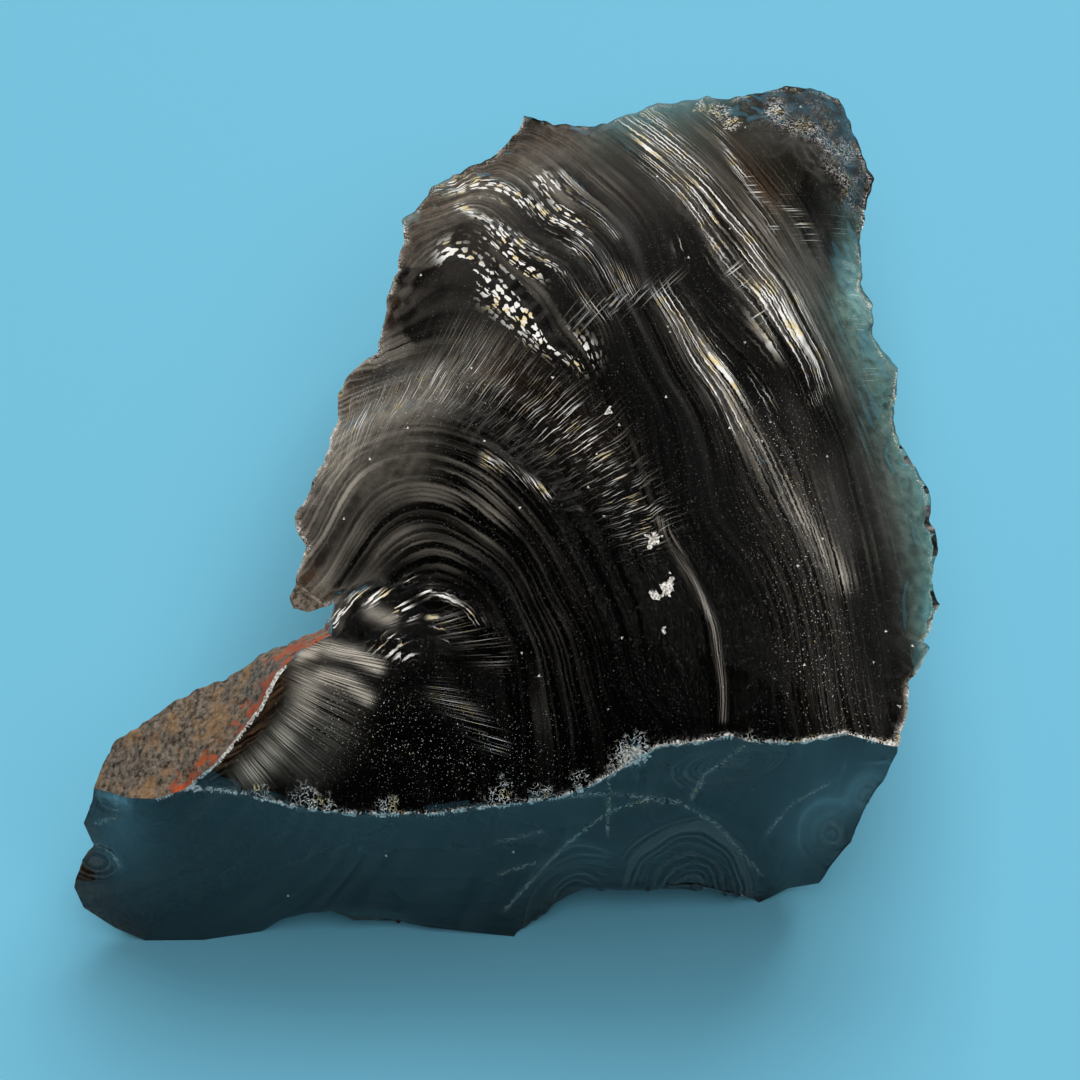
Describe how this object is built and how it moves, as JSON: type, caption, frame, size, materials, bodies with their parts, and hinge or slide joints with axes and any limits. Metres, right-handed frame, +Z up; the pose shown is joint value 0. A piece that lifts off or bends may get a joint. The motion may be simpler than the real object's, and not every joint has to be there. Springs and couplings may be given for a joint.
{
  "type": "obsidian chunk",
  "caption": "Broken lump of black volcanic glass with a rippled conchoidal main face, a steep front face, thin see-through edges and a strip of weathered rind; rests on a flat sole.",
  "frame": {"origin": "centre of the bounding box in plan, at the level of the flat sole that the stone rests on", "axes": "+X along the stone's longest extent, from the toe with the weathered rind towards the thin far edge; +Y across it, towards the toe-side thin edge; +Z up from the sole, the shortest extent"},
  "size_m": [0.078, 0.049, 0.028],
  "materials": {
    "obsidian": "fresh glossy fracture surface, near black in the thick of the stone and smoky green where it runs thin, with a dull gray-brown and rust-red weathered rind on the toe"
  },
  "bodies": {
    "root": {"obsidian_chunk": "obsidian"}
  },
  "joints": []
}
